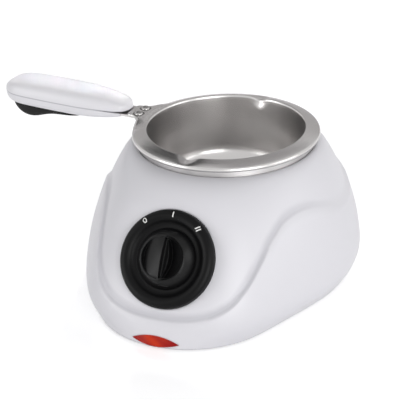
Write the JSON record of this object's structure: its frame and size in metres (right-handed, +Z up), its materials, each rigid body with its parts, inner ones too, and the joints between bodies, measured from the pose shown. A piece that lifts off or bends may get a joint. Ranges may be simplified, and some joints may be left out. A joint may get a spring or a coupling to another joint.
{
  "type": "electric fondue pot",
  "caption": "Small electric chocolate-melting pot: a lift-out steel pot with one handle sits in a heated moulded stand with a leaning front dial and a power lamp.",
  "frame": {"origin": "on the table under the pot's axis, in the plane the feet stand on", "axes": "+Z up, -Y towards the dial and the lamp (front), the handle points to -X"},
  "size_m": [0.2485, 0.21, 0.1079],
  "materials": {
    "black_dial": "satin black moulded plastic, printed white positions",
    "black_knob": "satin black moulded plastic",
    "brass_parts": "turned brass",
    "clamp_steel": "aluminised sheet steel",
    "cover_plastic": "matte white moulded underside cover",
    "element_sheath": "heat-darkened sheath of a flat mica-insulated element",
    "fuse_metal": "tinned metal can",
    "gland_plastic": "white nylon",
    "holder_plastic": "natural nylon",
    "lamp_glass": "clear glass with an orange glow",
    "liner_steel": "drawn stainless steel",
    "plate_aluminium": "cast and faced aluminium",
    "pot_steel": "pressed stainless steel, satin with a brighter rim",
    "red_lens": "clear red moulded acrylic",
    "rivet_steel": "polished rivet heads",
    "rubber_feet": "soft dark grey rubber",
    "screw_steel": "zinc-plated steel",
    "soft_grip": "black soft-touch moulding",
    "spindle_plastic": "natural nylon",
    "switch_plastic": "black heat-resistant moulding",
    "tang_steel": "pressed stainless strip",
    "terminal_plastic": "natural nylon",
    "white_body": "glossy injection-moulded white plastic, very light texture-free surface",
    "white_handle": "glossy injection-moulded white plastic"
  },
  "bodies": {
    "stand": {"housing": "white_body", "bottom_cover": "cover_plastic", "feet": "rubber_feet", "base_screws": "screw_steel", "well_liner": "liner_steel", "liner_screws": "screw_steel", "heater_plate": "plate_aluminium", "heating_element": "element_sheath", "element_clamp": "clamp_steel", "centre_screw": "screw_steel", "thermal_fuse": "fuse_metal", "fuse_strap": "clamp_steel", "dial_bezel": "black_dial", "rotary_switch": "switch_plastic", "switch_nut": "brass_parts", "lamp_lens": "red_lens", "neon_lamp": "lamp_glass", "lamp_holder": "holder_plastic", "terminal_block": "terminal_plastic", "cord_gland": "gland_plastic"},
    "pot_unit": {"pot": "pot_steel", "handle_tang": "tang_steel", "tang_rivets": "rivet_steel", "handle_upper": "white_handle", "handle_lower": "white_handle", "handle_grip": "soft_grip", "handle_screws": "screw_steel"},
    "knob": {"control_knob": "black_knob", "switch_spindle": "spindle_plastic"}
  },
  "joints": [
    {"name": "knob_turn", "type": "hinge", "parent": "stand", "child": "knob", "pos_m": [0, -0.0956, 0.048], "axis": [0, -0.8425, 0.5388], "range_deg": [-40, 40]},
    {"name": "pot_lift", "type": "slide", "parent": "stand", "child": "pot_unit", "axis": [0, 0, 1], "range_m": [0, 0.08]}
  ]
}
